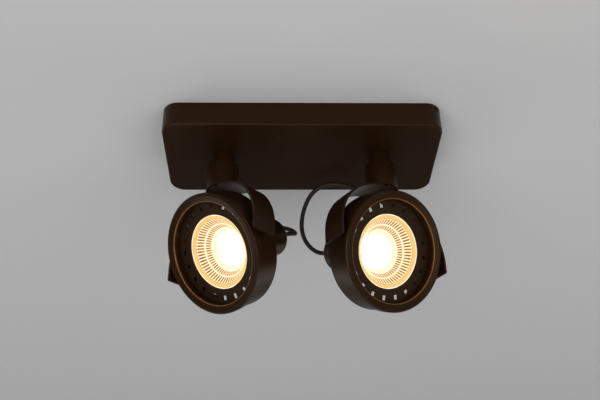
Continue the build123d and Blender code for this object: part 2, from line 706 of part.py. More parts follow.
def write(name, piece):
    """Writes a piece, or a group of like pieces, to its own file."""
    if isinstance(piece, list):
        piece = Compound(children=piece)
    piece.label = name
    export_step(piece, f"parts/{name}.step")


def main():
    os.makedirs("parts", exist_ok=True)
    for make in CANOPY_PIECES:
        write(make.__name__, make())
    for side in SIDES:
        for make in STEM_PIECES:
            write(f"{side}_{make.__name__}", make(side))
    for makers, place in ((HEAD_PIECES, head_at), (LAMP_PIECES, lamp_at)):
        for make in makers:
            made = make()
            for side in SIDES:
                write(f"{side}_{make.__name__}", placed(made, place(side)))


main()
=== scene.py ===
"""Dresses the twin-head ceiling spotlight round its fixed frame: finishes, cables, screws, dishes and light.

Everything is in metres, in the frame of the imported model: the ceiling is at Z = 0, the spotlight hangs below
it, X runs along the canopy and the viewer stands on the side of -Y. In a head's own frame Z runs along the
beam and X along the tilt axis; in a yoke's own frame Z is up and X runs along the tilt axis.
"""

import json
import math

import bmesh
import bpy
import numpy as np
from bpy.props import FloatProperty, FloatVectorProperty, IntProperty, PointerProperty
from bpy.types import Operator, Panel, PropertyGroup
from mathutils import Matrix, Vector

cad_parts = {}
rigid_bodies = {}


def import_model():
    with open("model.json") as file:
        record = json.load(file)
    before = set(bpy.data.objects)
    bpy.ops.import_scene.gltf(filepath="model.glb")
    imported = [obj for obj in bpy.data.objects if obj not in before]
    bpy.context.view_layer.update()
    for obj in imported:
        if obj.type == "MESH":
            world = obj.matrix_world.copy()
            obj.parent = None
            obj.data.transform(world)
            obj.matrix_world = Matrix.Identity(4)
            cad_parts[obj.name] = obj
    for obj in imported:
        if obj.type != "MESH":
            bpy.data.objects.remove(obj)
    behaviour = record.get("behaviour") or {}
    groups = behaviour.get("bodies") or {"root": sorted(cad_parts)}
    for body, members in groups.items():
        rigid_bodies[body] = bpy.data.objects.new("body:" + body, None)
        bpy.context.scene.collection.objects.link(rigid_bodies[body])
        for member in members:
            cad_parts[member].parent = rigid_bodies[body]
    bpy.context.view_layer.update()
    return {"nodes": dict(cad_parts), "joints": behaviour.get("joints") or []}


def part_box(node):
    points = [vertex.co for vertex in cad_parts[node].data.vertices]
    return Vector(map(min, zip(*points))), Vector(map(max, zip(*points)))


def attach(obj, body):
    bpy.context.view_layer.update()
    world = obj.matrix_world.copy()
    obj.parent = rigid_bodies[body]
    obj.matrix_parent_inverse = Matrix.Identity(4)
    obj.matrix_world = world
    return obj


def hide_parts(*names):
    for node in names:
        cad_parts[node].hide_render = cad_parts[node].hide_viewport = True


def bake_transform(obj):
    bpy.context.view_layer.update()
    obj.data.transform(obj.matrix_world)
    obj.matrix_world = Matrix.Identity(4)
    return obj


bl_info = {
    "name": "Twin-head ceiling spotlight",
    "version": (1, 0, 0),
    "blender": (4, 5, 0),
    "location": "View3D > Sidebar > Spotlight",
    "description": "Finishes, cables, screws, dishes, light and stage for a twin-head ceiling spotlight",
    "category": "Object",
}

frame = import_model()
NODES = frame["nodes"]
JOINTS = {joint["name"]: joint for joint in frame["joints"]}
SIDES = ("left", "right")
MM = 0.001

# Places read from the frame


def node_points(node):
    """A node's vertices as an array."""
    return np.array([vertex.co for vertex in NODES[node].data.vertices])


def node_middle(node):
    """Middle of a node's box."""
    low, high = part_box(node)
    return (low + high) / 2


def as_matrix(x_axis, z_axis, origin):
    """Place whose X and Z run along two square directions."""
    y_axis = z_axis.cross(x_axis)
    turned = Matrix((x_axis, y_axis, z_axis)).transposed()
    return Matrix.Translation(origin) @ turned.to_4x4()


def pivot_of(side):
    """Where a head's tilt axis crosses its stem's axis."""
    return Vector(JOINTS[f"{side}_tilt"]["pos_m"])


def yoke_place(side):
    """A yoke's own frame."""
    return as_matrix(Vector(JOINTS[f"{side}_tilt"]["axis"]), Vector((0, 0, 1)), pivot_of(side))


def head_place(side):
    """A head's own frame: the beam is square to the flat glass and points away from the lampholder."""
    points = node_points(f"{side}_lamp_glass")
    centred = points - points.mean(0)
    beam = Vector(np.linalg.eigh(centred.T @ centred)[1][:, 0])
    if beam.dot(node_middle(f"{side}_lamp_glass") - node_middle(f"{side}_lampholder")) < 0:
        beam.negate()
    tilt_axis = Vector(JOINTS[f"{side}_tilt"]["axis"])
    tilt_axis -= beam * tilt_axis.dot(beam)
    return as_matrix(tilt_axis.normalized(), beam.normalized(), pivot_of(side))


def local_points(node, place):
    """A node's vertices in another frame."""
    inverse = np.array(place.inverted())
    return node_points(node) @ inverse[:3, :3].T + inverse[:3, 3]


def span_along(node, place):
    """Lowest and highest corner of a node in another frame."""
    local = local_points(node, place)
    return Vector(local.min(0)), Vector(local.max(0))


# Cables: the routes of the model, in metres, between the collar's grommet and the lampholder

CABLE_ROUTE = {
    "left": [
        (-0.0633, 0.0205, -0.0560), (-0.0552, 0.0288, -0.0571), (-0.0491, 0.0371, -0.0615),
        (-0.0450, 0.0447, -0.0682), (-0.0409, 0.0526, -0.0735), (-0.0359, 0.0603, -0.0760),
        (-0.0301, 0.0669, -0.0756), (-0.0238, 0.0715, -0.0740), (-0.0171, 0.0744, -0.0736),
        (-0.0109, 0.0753, -0.0753), (-0.0069, 0.0739, -0.0792), (-0.0064, 0.0701, -0.0835),
        (-0.0109, 0.0644, -0.0868),
    ],
    "right": [
        (0.0721, 0.0206, -0.0560), (0.0635, 0.0280, -0.0510), (0.0525, 0.0315, -0.0445),
        (0.0410, 0.0330, -0.0405), (0.0300, 0.0360, -0.0390), (0.0195, 0.0405, -0.0405),
        (0.0105, 0.0470, -0.0465), (0.0045, 0.0550, -0.0565), (0.0010, 0.0630, -0.0680),
        (0.0010, 0.0710, -0.0790), (0.0050, 0.0785, -0.0885), (0.0125, 0.0835, -0.0960),
        (0.0218, 0.0838, -0.1018),
    ],
}

# Cables: the straight run into the lampholder, each length from end to end, the tube's sides, its steps from
# one point of the route to the next, and the length that one width of its map covers
CABLE_LAST_RUN = 14.0 * MM
CABLE_SIDES = 20
CABLE_STEPS = 10
CABLE_MAP_LENGTH = 0.1

# Turn between two faces that makes their edge hard: on a skin over rings, and on the screws once they are set
CREASE = math.radians(32)
SCREW_CREASE = math.radians(30)

# Screws: sides, steps and turn of the dome, and the head's chamfer as a share of its height
SCREW_SIDES = 48
SCREW_DOME_STEPS = 6
SCREW_DOME_TURN = math.radians(62)
SCREW_CHAMFER = 0.08

# Threads, as shares of the shank's radius: the pitch, the root, the tip and its length, where the first turn
# starts above the tip, and the length that has no turns
THREAD_PITCH = 0.32
THREAD_ROOT = 0.86
THREAD_TIP = 0.55
THREAD_TIP_LENGTH = 0.4
THREAD_START = 0.5
THREAD_PLAIN = 0.6

# Rings of a socket, as shares of its width over flats and of the head's height
SOCKET_RINGS = ((1.12, 1.0), (1.0, 0.94), (1.0, 0.25), (0.3, 0.18))

# How a screw's head is found: its least radius as a share of the largest, and how far below it the shank is
HEAD_FIND = 0.9
SHANK_FIND = 0.1 * MM

# Front rings: the distances from the lip's edge between which painted lamp light, standing for the lamp's glow
# on the lip, gives way to the coat, and how near to the bore a point of the ring is on the lip
LAMP_LIT_LIP_REACH = (1.1 * MM / 3, 1.1 * MM)
LIP_FIND = 0.1 * MM

# How much lighter a cable's sheath is in places, and the share of the light's tint in the middle of a chip
SHEATH_LIGHTER = 1.7
CHIP_TINT = 0.45

# Dishes: steps across one facet, the turn that makes an edge hard, the plain band's share in painted shade,
# its painted brightness, how far it ends inside the rim as a share of the rim's width, the radii between which
# the painted glow of the lamp's reflected light falls, how the rows lengthen outwards, and how far a facet's
# swell goes inwards and forwards
DISH_STEPS = 6
DISH_CREASE = math.radians(11)
DISH_GROOVE = 0.15
DISH_BAND_PAINTED_SHINE = 0.5
DISH_BAND_END = 0.25
DISH_GLOW_REACH = (11.0 * MM, 24.0 * MM)
DISH_ROW_GROWTH = 1.35
DISH_SWELL = (0.6, 0.8)

# Painted shade: dark dashes beside each facet, standing for dark reflections: where they start, how fast they
# darken, and how square their ends are
DASH_START = 0.22
DASH_RISE = 3.0
DASH_SQUARE = 8

# Welding distance
WELD = 0.002 * MM

# Stage: a corner of the ceiling and the floor, the inset of the ceiling's opening from the canopy's edge, and
# the ceiling's gap to the canopy
STAGE_CORNER = Vector((6.0, 6.0, 0.0))
CEILING_INSET = Vector((6.0 * MM, 6.0 * MM, 0.0))
CEILING_GAP = 0.2 * MM

# Lights: name, power, size, place and target
STAGE_LIGHTS = (
    ("key", 29.0, 1.8, (-0.8, -1.7, -1.2), (0.0, -0.2, -0.05)),
    ("fill", 17.0, 1.8, (1.3, -1.4, -1.2), (0.0, -0.2, -0.05)),
    ("below", 17.0, 2.4, (0.0, 0.2, -2.4), (0.0, 0.0, 0.0)),
    ("back_left", 12.0, 1.6, (-2.2, 1.5, -1.2), (0.0, 0.2, -0.05)),
    ("back_right", 10.0, 1.6, (2.2, 1.5, -1.2), (0.0, 0.2, -0.05)),
    ("above", 16.0, 1.2, (0.2, -0.5, 1.4), (0.0, 0.0, 0.0)),
)


# Settings


class PaintSettings(PropertyGroup):
    """The black coat on the canopy, stems, yokes, drums and caps."""

    colour: FloatVectorProperty(
        name="Colour", description="Colour of the coat", subtype="COLOR", size=3, min=0, max=1,
        default=(0.0125, 0.0048, 0.0014),
    )
    dust: FloatVectorProperty(
        name="Dust", description="Colour where the coat is dusty", subtype="COLOR", size=3,
        min=0, max=1, default=(0.019, 0.0085, 0.0034),
    )
    sheen: FloatVectorProperty(
        name="Sheen", description="Colour of the coat's gloss", subtype="COLOR", size=3, min=0, max=1,
        default=(1.0, 0.62, 0.36),
    )
    # Painted lamp light: the bronze line along each front ring's lip stands for the lamp's glow falling on it
    lamp_lit_lip: FloatVectorProperty(
        name="Rubbed edge", description="Colour where the coat is rubbed through", subtype="COLOR", size=3,
        min=0, max=1, default=(0.14, 0.058, 0.019),
    )
    roughness: FloatProperty(
        name="Roughness", description="Mean roughness of the coat", subtype="FACTOR", min=0, max=1,
        default=0.33,
    )
    peel: FloatProperty(
        name="Orange peel", description="Height of the coat's fine waves", unit="LENGTH", min=0,
        default=0.06 * MM,
    )


class CableSettings(PropertyGroup):
    """The round cables to the lampholders."""

    diameter: FloatProperty(
        name="Diameter", description="Outside diameter of the sheath", unit="LENGTH", min=1.0 * MM,
        default=5.0 * MM,
    )
    colour: FloatVectorProperty(
        name="Colour", description="Colour of the sheath", subtype="COLOR", size=3, min=0, max=1,
        default=(0.012, 0.0062, 0.0030),
    )


class LampSettings(PropertyGroup):
    """The lamps' dishes and their light."""

    sectors: IntProperty(name="Sectors", description="Facets round the dish", min=8, default=60)
    rows: IntProperty(name="Rows", description="Facets from the neck to the rim", min=2, default=5)
    bulge: FloatProperty(
        name="Bulge", description="How far each facet swells", unit="LENGTH", min=0, default=0.12 * MM
    )
    rim: FloatProperty(
        name="Rim", description="Width of the flat rim", unit="LENGTH", min=0, default=0.8 * MM
    )
    band: FloatProperty(
        name="Band", description="Width of the plain band round the facets", unit="LENGTH", min=0,
        default=4.0 * MM,
    )
    band_depth: FloatProperty(
        name="Band depth", description="How far the plain band falls", unit="LENGTH", min=0, default=2.0 * MM
    )
    neck: FloatProperty(
        name="Neck", description="Radius of the dish's opening at the light source", unit="LENGTH", min=0,
        default=11.0 * MM,
    )
    wall: FloatProperty(
        name="Wall", description="Thickness of the dish", unit="LENGTH", min=0, default=1.2 * MM
    )
    tint: FloatVectorProperty(
        name="Tint", description="Colour of the light", subtype="COLOR", size=3, min=0, max=1,
        default=(1.0, 0.70, 0.36),
    )
    # The groove, shade, amber and field colours are painted light on the dish, which is no lamp: the lamp's
    # reflected light painted on as glow, with painted shade between the facets and painted highlights on them
    groove: FloatVectorProperty(
        name="Groove", description="Colour of the dish between its facets", subtype="COLOR", size=3,
        min=0, max=1, default=(0.40, 0.165, 0.022),
    )
    shade: FloatVectorProperty(
        name="Shade", description="Colour of the darkest places between the facets", subtype="COLOR", size=3,
        min=0, max=1, default=(0.13, 0.045, 0.006),
    )
    amber: FloatVectorProperty(
        name="Amber", description="Colour of the plain band round the facets", subtype="COLOR", size=3,
        min=0, max=1, default=(0.82, 0.47, 0.155),
    )
    field: FloatVectorProperty(
        name="Field", description="Colour of the facets", subtype="COLOR", size=3, min=0, max=1,
        default=(1.0, 0.91, 0.70),
    )
    strength: FloatProperty(
        name="Strength", description="Brightness of the light source", min=0, default=120.0
    )
    # Brightness of the painted glow on the dish, from its rim to its neck
    dish_glow: FloatProperty(
        name="Rim glow", description="Brightness of the dish at its rim", min=0, default=1.4
    )
    neck_glow: FloatProperty(
        name="Neck glow", description="Brightness of the dish at its neck", min=0, default=8.0
    )


class ScrewSettings(PropertyGroup):
    """The domed screws with a six-sided socket."""

    dome: FloatProperty(
        name="Dome", description="Share of a head's height that is domed", subtype="FACTOR", min=0.1, max=0.9,
        default=0.6,
    )
    socket: FloatProperty(
        name="Socket", description="Socket's width over flats, as a share of the head's diameter",
        subtype="FACTOR", min=0.1, max=0.8, default=0.46,
    )


class StageSettings(PropertyGroup):
    """The ceiling, the floor, the light and the camera."""

    ceiling: FloatVectorProperty(
        name="Ceiling", description="Colour of the ceiling", subtype="COLOR", size=3, min=0, max=1,
        default=(0.46, 0.46, 0.465),
    )
    floor: FloatVectorProperty(
        name="Floor", description="Colour of the floor", subtype="COLOR", size=3, min=0, max=1,
        default=(0.78, 0.77, 0.75),
    )
    floor_height: FloatProperty(
        name="Floor height", description="Height of the floor, from the ceiling", unit="LENGTH", default=-3.0
    )
    room: FloatVectorProperty(
        name="Room", description="Colour of the light from all round", subtype="COLOR", size=3, min=0, max=1,
        default=(1.0, 1.0, 1.0),
    )
    room_strength: FloatProperty(
        name="Room light", description="Strength of the light from all round", min=0, default=0.3
    )
    lens: FloatProperty(
        name="Lens", description="Focal length of the camera", subtype="DISTANCE_CAMERA", min=1,
        default=49.725,
    )
    camera_place: FloatVectorProperty(
        name="Camera", description="Where the camera stands", subtype="TRANSLATION", unit="LENGTH", size=3,
        default=(-0.02904, -0.73071, -0.59084),
    )
    camera_pitch: FloatProperty(
        name="Pitch", description="How far the camera looks up", subtype="ANGLE", default=math.radians(34.67)
    )
    camera_yaw: FloatProperty(
        name="Yaw", description="How far the camera looks towards +X", subtype="ANGLE",
        default=math.radians(2.06),
    )
    camera_roll: FloatProperty(
        name="Roll", description="How far the camera leans", subtype="ANGLE", default=math.radians(-1.21)
    )


class SpotlightSettings(PropertyGroup):
    """All settings of the spotlight."""

    paint: PointerProperty(type=PaintSettings)
    cable: PointerProperty(type=CableSettings)
    lamp: PointerProperty(type=LampSettings)
    screw: PointerProperty(type=ScrewSettings)
    stage: PointerProperty(type=StageSettings)


# Materials


class Graph:
    """A node tree under construction."""

    def __init__(self, tree):
        self.tree = tree

    def feed(self, socket, value):
        """Gives a socket a fixed value, or joins an output to it."""
        if isinstance(value, bpy.types.NodeSocket):
            self.tree.links.new(value, socket)
        elif socket.type == "RGBA":
            socket.default_value = (*value, 1)
        else:
            socket.default_value = value

    def add(self, kind, **values):
        """New node with its properties set and its sockets fed by name."""
        node = self.tree.nodes.new(kind)
        for key, value in values.items():
            if key in node.bl_rna.properties:
                setattr(node, key, value)
            else:
                self.feed(node.inputs[key.replace("_", " ")], value)
        return node


class Finish(Graph):
    """A material under construction, with short ways to make its textures."""

    def __init__(self, name):
        self.material = bpy.data.materials.new(name)
        self.material.use_nodes = True
        super().__init__(self.material.node_tree)
        self.shader = self.tree.nodes["Principled BSDF"]

    def set(self, **values):
        """Feeds sockets of the shader by name."""
        for key, value in values.items():
            self.feed(self.shader.inputs[key.replace("_", " ")], value)

    def coordinates(self, place=None):
        """Object coordinates, turned into another frame where one is given."""
        source = self.add("ShaderNodeTexCoord").outputs["Object"]
        if place is None:
            return source
        inverse = place.inverted()
        mapping = self.add(
            "ShaderNodeMapping", vector_type="POINT", Vector=source, Location=inverse.translation,
            Rotation=inverse.to_euler(),
        )
        return mapping.outputs["Vector"]

    def radius(self, vector):
        """Distance from the Z axis."""
        flat = self.add("ShaderNodeVectorMath", operation="MULTIPLY", Vector=vector)
        flat.inputs[1].default_value = (1, 1, 0)
        length = self.add("ShaderNodeVectorMath", operation="LENGTH", Vector=flat.outputs["Vector"])
        return length.outputs["Value"]

    def noise(self, vector, scale, detail=3.0, roughness=0.55):
        """Cloudy texture, its scale per metre."""
        node = self.add("ShaderNodeTexNoise", Vector=vector, Scale=scale, Detail=detail, Roughness=roughness)
        return node.outputs["Fac"]

    def spread(self, value, low, high, start=0.3, end=0.7):
        """Maps a range of a texture, its middle where none is given, onto two limits."""
        node = self.add(
            "ShaderNodeMapRange", Value=value, From_Min=start, From_Max=end, To_Min=low, To_Max=high
        )
        return node.outputs["Result"]

    def blend(self, factor, first, second):
        """Colour between two, each a fixed colour or an output."""
        node = self.add("ShaderNodeMix", data_type="RGBA", Factor=factor)
        # The node has sockets for other types too: 6 and 7 take colours, and 2 gives one
        self.feed(node.inputs[6], first)
        self.feed(node.inputs[7], second)
        return node.outputs[2]

    def bump(self, height, distance, strength):
        """Normal of a fine relief that a texture makes."""
        node = self.add("ShaderNodeBump", Height=height, Distance=distance, Strength=strength)
        return node.outputs["Normal"]


def satin_coat(finish, place, settings):
    """Gives a finish the black coat's gloss and orange peel, and returns its slightly dusty colour."""
    cloud = finish.noise(place, scale=26, detail=5)
    speck = finish.noise(place, scale=420, detail=4)
    peel = finish.noise(place, scale=1150, detail=2, roughness=0.4)
    finish.set(
        Specular_IOR_Level=0.18, Specular_Tint=settings.sheen,
        Roughness=finish.spread(speck, settings.roughness - 0.06, settings.roughness + 0.06),
        Normal=finish.bump(peel, distance=settings.peel, strength=0.35),
    )
    dusty = finish.spread(cloud, 0, 0.5, start=0.42, end=0.8)
    return finish.blend(dusty, settings.colour, settings.dust)


def black_paint(settings):
    """Satin black powder coat."""
    finish = Finish("satin_black_paint")
    finish.set(Base_Color=satin_coat(finish, finish.coordinates(), settings))
    return finish.material


def lamp_lit_ring(name, place, edge, settings):
    """Black coat on a front ring, with painted lamp light in bronze along its lip's edge, given by radius and
    height.
    """
    finish = Finish(name)
    local = finish.coordinates(place)
    coat = satin_coat(finish, local, settings)
    height = finish.add("ShaderNodeSeparateXYZ", Vector=local).outputs["Z"]
    section = finish.add("ShaderNodeCombineXYZ", X=finish.radius(local), Y=height)
    away = finish.add("ShaderNodeVectorMath", operation="DISTANCE", Vector=section.outputs["Vector"])
    away.inputs[1].default_value = (*edge, 0)
    # Painted lamp light, strongest at the lip's edge and fading into the coat
    lamp_lit_lip = finish.spread(away.outputs["Value"], 1, 0, *LAMP_LIT_LIP_REACH)
    finish.set(Base_Color=finish.blend(lamp_lit_lip, coat, settings.lamp_lit_lip))
    return finish.material


def dark_lamp_metal(name, place):
    """Black anodised aluminium with fine turning rings about the beam."""
    finish = Finish(name)
    local = finish.coordinates(place)
    rings = finish.add(
        "ShaderNodeTexWave", wave_type="RINGS", rings_direction="Z", Vector=local, Scale=260.0, Distortion=0.6
    )
    cloud = finish.noise(local, scale=90, detail=4)
    finish.set(
        Base_Color=finish.blend(finish.spread(cloud, 0, 1), (0.013, 0.0062, 0.0028), (0.019, 0.0095, 0.0045)),
        Specular_IOR_Level=0.2, Specular_Tint=(1.0, 0.66, 0.42), Roughness=finish.spread(cloud, 0.46, 0.58),
        Normal=finish.bump(rings.outputs["Fac"], distance=0.04 * MM, strength=0.35),
    )
    return finish.material


def plated_steel():
    """Zinc-plated steel with a faint spangle and changes of gloss."""
    finish = Finish("zinc_plated_steel")
    place = finish.coordinates()
    cells = finish.add("ShaderNodeTexVoronoi", Vector=place, Scale=190.0)
    cloud = finish.noise(place, scale=60, detail=6)
    spangle = finish.spread(cells.outputs["Color"], 0, 1, start=0, end=1)
    finish.set(
        Base_Color=finish.blend(spangle, (0.50, 0.51, 0.53), (0.66, 0.67, 0.68)), Metallic=1.0,
        Roughness=finish.spread(cloud, 0.28, 0.44),
        Normal=finish.bump(cloud, distance=0.05 * MM, strength=0.3),
    )
    return finish.material


def moulded_plastic(name, first, second, roughness):
    """Moulded plastic or ceramic with a fine grain, mottled between two colours."""
    finish = Finish(name)
    place = finish.coordinates()
    cloud = finish.noise(place, scale=110, detail=4)
    grain = finish.noise(place, scale=1900, detail=2)
    finish.set(
        Base_Color=finish.blend(finish.spread(cloud, 0, 1), first, second),
        Roughness=finish.spread(cloud, roughness - 0.05, roughness + 0.07),
        Normal=finish.bump(grain, distance=0.05 * MM, strength=0.3),
    )
    return finish.material


def plain_brass():
    """Brass with a light tarnish."""
    finish = Finish("brass")
    cloud = finish.noise(finish.coordinates(), scale=300, detail=5)
    finish.set(
        Base_Color=finish.blend(finish.spread(cloud, 0, 1), (0.72, 0.50, 0.20), (0.48, 0.32, 0.13)),
        Metallic=1.0, Roughness=finish.spread(cloud, 0.24, 0.42),
    )
    return finish.material


def cable_sheath(settings):
    """Smooth black sheath, a little waxy, with the faint marks of its drawing along its length."""
    finish = Finish("cable_sheath")
    uv = finish.add("ShaderNodeUVMap", uv_map="UVMap").outputs["UV"]
    drawn = finish.add("ShaderNodeMapping", Vector=uv, Scale=(26, 3, 1))
    marks = finish.noise(drawn.outputs["Vector"], scale=3)
    cloud = finish.noise(finish.coordinates(), scale=160)
    lighter = [SHEATH_LIGHTER * channel for channel in settings.colour]
    finish.set(
        Base_Color=finish.blend(finish.spread(cloud, 0, 1), settings.colour, lighter),
        Specular_IOR_Level=0.2, Roughness=finish.spread(marks, 0.42, 0.55),
        Normal=finish.bump(marks, distance=0.06 * MM, strength=0.4),
    )
    return finish.material


def painted_glow_dish(name, place, settings):
    """Metallised facets with the lamp's reflected light painted on as glow, brightest at the source: painted
    highlights on the facets and the rim, painted amber light on the band and painted shade in the grooves.
    """
    finish = Finish(name)
    local = finish.coordinates(place)
    painted_shine = finish.add("ShaderNodeAttribute", attribute_name="painted_shine").outputs["Fac"]
    cloud = finish.noise(local, scale=240)
    # Painted glow: brighter towards the neck, where the light source sits
    glow = finish.spread(finish.radius(local), settings.neck_glow, settings.dish_glow, *DISH_GLOW_REACH)
    # Painted shade in the grooves and dashes, painted light on the band, painted highlights on the facets and
    # rim
    groove = finish.blend(finish.spread(cloud, 0, 1, start=0.4, end=0.6), settings.groove, settings.shade)
    band = finish.blend(finish.spread(painted_shine, 0, 1, start=0, end=DISH_BAND_PAINTED_SHINE), groove, settings.amber)
    field = finish.spread(painted_shine, 0, 1, start=DISH_BAND_PAINTED_SHINE, end=1)
    finish.set(
        Base_Color=(0.02, 0.012, 0.005), Specular_IOR_Level=0.1, Roughness=finish.spread(cloud, 0.25, 0.4),
        Emission_Color=finish.blend(field, band, settings.field), Emission_Strength=glow,
    )
    return finish.material


def lit_pad(name, place, settings):
    """Light-emitting pad: a warm white field with a soft grid of chips."""
    finish = Finish(name)
    cells = finish.add(
        "ShaderNodeTexVoronoi", Vector=finish.coordinates(place), Scale=420.0, Randomness=0.0
    )
    pale = [1 - CHIP_TINT * (1 - channel) for channel in settings.tint]
    chips = finish.spread(cells.outputs["Distance"], 0, 1, start=0.2, end=0.6)
    finish.set(
        Base_Color=(0.9, 0.7, 0.3), Roughness=0.5, Emission_Strength=settings.strength,
        Emission_Color=finish.blend(chips, pale, settings.tint),
    )
    return finish.material


def clear_glass():
    """Thin clear cover that lets the dish show, with faint smears."""
    finish = Finish("clear_cover")
    smear = finish.noise(finish.coordinates(), scale=45, detail=4)
    finish.set(
        Base_Color=(0.2, 0.2, 0.2), Specular_IOR_Level=0.5, Roughness=finish.spread(smear, 0.02, 0.12),
        Alpha=finish.spread(smear, 0.03, 0.07),
    )
    return finish.material


def ceiling_paint(colour):
    """Matt ceiling, seen through from its upper side."""
    finish = Finish("ceiling")
    grain = finish.noise(finish.coordinates(), scale=260)
    finish.set(
        Base_Color=colour, Roughness=0.9, Specular_IOR_Level=0.1,
        Normal=finish.bump(grain, distance=0.1 * MM, strength=0.15),
    )
    mix = finish.add("ShaderNodeMixShader", Fac=finish.add("ShaderNodeNewGeometry").outputs["Backfacing"])
    finish.feed(mix.inputs[1], finish.shader.outputs["BSDF"])
    finish.feed(mix.inputs[2], finish.add("ShaderNodeBsdfTransparent").outputs["BSDF"])
    finish.feed(finish.tree.nodes["Material Output"].inputs["Surface"], mix.outputs["Shader"])
    return finish.material


def matt_floor(colour):
    """Pale matt floor."""
    finish = Finish("floor")
    finish.set(Base_Color=colour, Roughness=0.85, Specular_IOR_Level=0.2)
    return finish.material


# Meshes


def add_piece(name, mesh, *finishes):
    """New object in the scene for a mesh and its finishes."""
    piece = bpy.data.objects.new(name, mesh)
    bpy.context.scene.collection.objects.link(piece)
    for finish in finishes:
        mesh.materials.append(finish)
    return piece


def mesh_of_rings(name, rings):
    """Skin over rings of points of equal count, capped at both ends."""
    shape = bmesh.new()
    loops = [[shape.verts.new(point) for point in ring] for ring in rings]
    count = len(loops[0])
    for low, high in zip(loops, loops[1:]):
        for i in range(count):
            j = (i + 1) % count
            shape.faces.new((low[i], low[j], high[j], high[i]))
    shape.faces.new(reversed(loops[0]))
    shape.faces.new(loops[-1])
    bmesh.ops.recalc_face_normals(shape, faces=shape.faces)
    mesh = bpy.data.meshes.new(name)
    shape.to_mesh(mesh)
    shape.free()
    shade(mesh, CREASE)
    return mesh


def shade(mesh, crease):
    """Smooth shading with hard edges where faces turn sharply."""
    mesh.shade_smooth()
    mesh.set_sharp_from_angle(angle=crease)


def turns_round(count):
    """Equal steps of a whole turn."""
    return [2 * math.pi * i / count for i in range(count)]


def ring_points(radius, height, six_sided=False):
    """Points round Z on a circle, or on the hexagon round it."""
    points = []
    for angle in turns_round(SCREW_SIDES):
        off_flat = (angle + math.pi / 6) % (math.pi / 3) - math.pi / 6
        reach = radius / math.cos(off_flat) if six_sided else radius
        points.append(Vector((reach * math.cos(angle), reach * math.sin(angle), height)))
    return points


def plain_mesh(piece):
    """Evaluates a piece's modifiers into a plain mesh and removes them."""
    depsgraph = bpy.context.evaluated_depsgraph_get()
    mesh = bpy.data.meshes.new_from_object(piece.evaluated_get(depsgraph))
    piece.modifiers.clear()
    old = piece.data
    piece.data = mesh
    bpy.data.meshes.remove(old)
    return piece


def drop(piece):
    """Removes a piece that was only a pattern for others."""
    mesh = piece.data
    bpy.data.objects.remove(piece)
    bpy.data.meshes.remove(mesh)


def coat_node(node, finish):
    """Gives a node of the model its finish."""
    slots = NODES[node].data.materials
    slots.clear()
    slots.append(finish)


def close_shell(mesh, crease):
    """Welds a mesh, turns its faces outwards and marks its hard edges."""
    shape = bmesh.new()
    shape.from_mesh(mesh)
    bmesh.ops.remove_doubles(shape, verts=shape.verts, dist=WELD)
    bmesh.ops.recalc_face_normals(shape, faces=shape.faces)
    shape.to_mesh(mesh)
    shape.free()
    shade(mesh, crease)


# Cable meshes


def cable_route(side):
    """The cable's control points: out of the collar's bush, along the route, into the cap's bush."""
    yoke, head = yoke_place(side), head_place(side)
    low, high = span_along(f"{side}_cable_grommet", yoke)
    start = yoke @ Vector((0, low.y, (low.z + high.z) / 2))
    holder = span_along(f"{side}_cap_grommet", head)[1].z
    ends = [head @ Vector((0, 0, height)) for height in (holder - CABLE_LAST_RUN, holder)]
    return [start, *(Vector(point) for point in CABLE_ROUTE[side]), *ends]


def smooth_path(route):
    """Points along the smooth spline that a route controls."""
    curve = bpy.data.curves.new("cable_line", "CURVE")
    curve.dimensions = "3D"
    curve.resolution_u = CABLE_STEPS
    spline = curve.splines.new("NURBS")
    spline.points.add(len(route) - 1)
    for point, place in zip(spline.points, route):
        point.co = (*place, 1)
    spline.order_u = 3
    spline.use_endpoint_u = True
    line = bpy.data.objects.new("cable_line", curve)
    mesh = bpy.data.meshes.new_from_object(line)
    points = [vertex.co.copy() for vertex in mesh.vertices]
    bpy.data.objects.remove(line)
    bpy.data.curves.remove(curve)
    bpy.data.meshes.remove(mesh)
    return points


def cable_mesh(name, path, diameter):
    """Round tube along a path, with a map of its length and its turn."""
    befores, afters = [path[0], *path], [*path[1:], path[-1]]
    tangents = [(after - before).normalized() for before, after in zip(befores, afters)]
    across = tangents[0].orthogonal().normalized()
    turns = turns_round(CABLE_SIDES)
    rings, lengths = [], [0.0]
    for i, (point, tangent) in enumerate(zip(path, tangents)):
        if i:
            across = tangents[i - 1].rotation_difference(tangent) @ across
            lengths.append(lengths[-1] + (point - path[i - 1]).length)
        other = tangent.cross(across)
        rings.append([point + diameter / 2 * (math.cos(a) * across + math.sin(a) * other) for a in turns])
    mesh = mesh_of_rings(name, rings)
    uv = mesh.uv_layers.new(name="UVMap").data
    for polygon in mesh.polygons:
        shares = [vertex % CABLE_SIDES / CABLE_SIDES for vertex in polygon.vertices]
        # A face over the seam ends at a whole turn; the caps, which have more corners, don't
        over_seam = len(shares) == 4 and max(shares) - min(shares) > 0.5
        for loop, vertex, share in zip(polygon.loop_indices, polygon.vertices, shares):
            along = lengths[vertex // CABLE_SIDES] / CABLE_MAP_LENGTH
            uv[loop].uv = (along, 1.0 if over_seam and share == 0 else share)
    return mesh


# Screw meshes


def screw_line(node, side, direction):
    """Where the screw on one side of a node sits, which way its head points and its sizes."""
    points = node_points(node)
    aim = np.array(direction)
    if side is not None:
        points = points[(points - points.mean(0)) @ np.array(side) > 0]
    on_axis = points.mean(0)
    on_axis -= (on_axis @ aim) * aim
    along = points @ aim
    around = np.linalg.norm(points - on_axis - np.outer(along, aim), axis=1)
    head = around > HEAD_FIND * around.max()
    seat, top, tip = along[head].min(), along.max(), along.min()
    shank = around[along < seat - SHANK_FIND].max()
    sizes = {"head": around.max(), "height": top - seat, "shank": shank, "length": seat - tip}
    return {"seat": Vector(on_axis + seat * aim), "direction": direction, "sizes": sizes}


